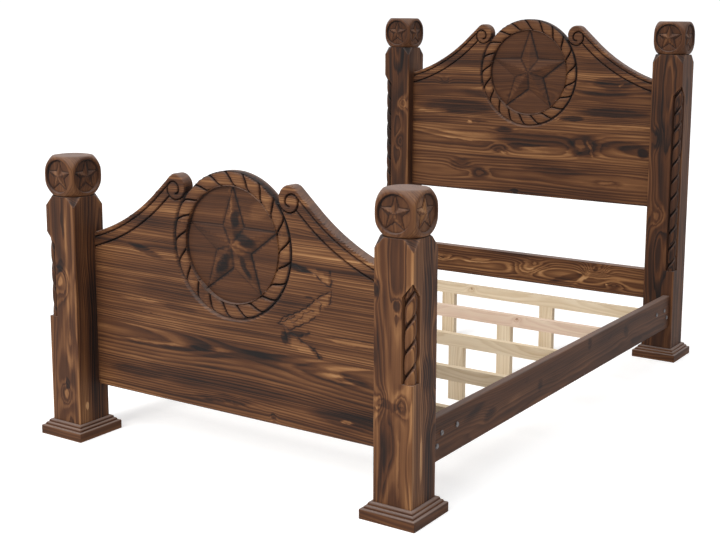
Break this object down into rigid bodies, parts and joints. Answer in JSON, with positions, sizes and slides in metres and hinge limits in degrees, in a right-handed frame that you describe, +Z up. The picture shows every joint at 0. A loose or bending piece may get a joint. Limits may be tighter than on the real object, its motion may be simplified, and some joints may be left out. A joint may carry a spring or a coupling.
{
  "type": "rustic bed frame",
  "caption": "Full-size rustic pine bed frame: square posts with dice finials and carved rope corners, boards carved with a star in a rope ring, hook-on side rails, slats on legs.",
  "frame": {"origin": "on the floor, below the middle of the bed's outer box", "axes": "+X to the right as seen from the foot of the bed, +Y from the foot to the head, +Z up"},
  "size_m": [1.534, 2.274, 1.44],
  "materials": {
    "stained_pine": "satin",
    "raw_pine": "matte",
    "birch_dowel": "matte",
    "plated_steel": "satin"
  },
  "bodies": {
    "root": {"finial_dowels": "birch_dowel", "foot_finial_left": "stained_pine", "foot_finial_right": "stained_pine", "foot_plinth_left": "stained_pine", "foot_plinth_right": "stained_pine", "foot_post_left": "stained_pine", "foot_post_right": "stained_pine", "foot_rail_hook_left": "plated_steel", "foot_rail_hook_right": "plated_steel", "footboard_plank_1": "stained_pine", "footboard_plank_2": "stained_pine", "footboard_plank_3": "stained_pine", "footboard_plank_4": "stained_pine", "head_finial_left": "stained_pine", "head_finial_right": "stained_pine", "head_plinth_left": "stained_pine", "head_plinth_right": "stained_pine", "head_post_left": "stained_pine", "head_post_right": "stained_pine", "head_rail_hook_left": "plated_steel", "head_rail_hook_right": "plated_steel", "headboard_lower_rail": "stained_pine", "headboard_plank_1": "stained_pine", "headboard_plank_2": "stained_pine", "headboard_plank_3": "stained_pine", "headboard_plank_4": "stained_pine", "headboard_plank_5": "stained_pine", "hook_pins": "plated_steel", "ledger_screws": "plated_steel", "rail_bolts": "plated_steel", "rail_nuts": "plated_steel", "side_rail_left": "stained_pine", "side_rail_right": "stained_pine", "slat_1": "raw_pine", "slat_2": "raw_pine", "slat_3": "raw_pine", "slat_4": "raw_pine", "slat_5": "raw_pine", "slat_ledger_left": "raw_pine", "slat_ledger_right": "raw_pine", "slat_leg_2_left": "raw_pine", "slat_leg_2_right": "raw_pine", "slat_leg_3_left": "raw_pine", "slat_leg_3_right": "raw_pine", "slat_leg_4_left": "raw_pine", "slat_leg_4_right": "raw_pine", "slat_leg_5_left": "raw_pine", "slat_leg_5_right": "raw_pine", "slat_screws": "plated_steel"}
  },
  "joints": []
}
